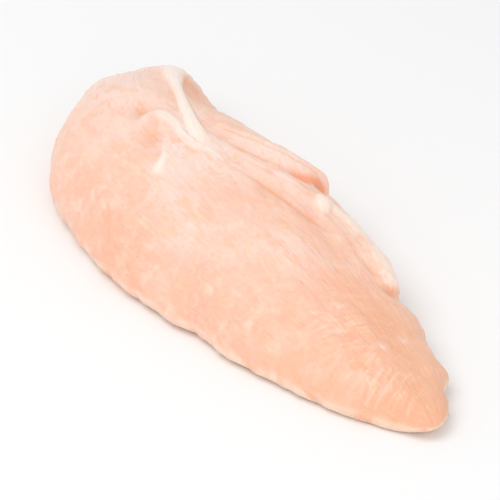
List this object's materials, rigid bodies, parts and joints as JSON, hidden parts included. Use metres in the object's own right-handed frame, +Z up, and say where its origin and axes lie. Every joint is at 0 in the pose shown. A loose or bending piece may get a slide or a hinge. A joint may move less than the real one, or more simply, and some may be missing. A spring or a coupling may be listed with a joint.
{
  "type": "raw chicken tenderloin",
  "caption": "Raw strip of chicken breast muscle with a blunt head, a thin tip, a white tendon and folded strips along one side, lying flat.",
  "frame": {"origin": "middle of the bounding box in plan, on the surface that the piece lies on", "axes": "+X from the blunt head to the thin tip, +Y towards the high side with the folded strips, +Z up"},
  "size_m": [0.1592, 0.0586, 0.0251],
  "materials": {
    "meat": "moist pale pink raw flesh, soft and slightly translucent, with a whiter tendon, lip and film"
  },
  "bodies": {
    "root": {"tenderloin": "meat"}
  },
  "joints": []
}
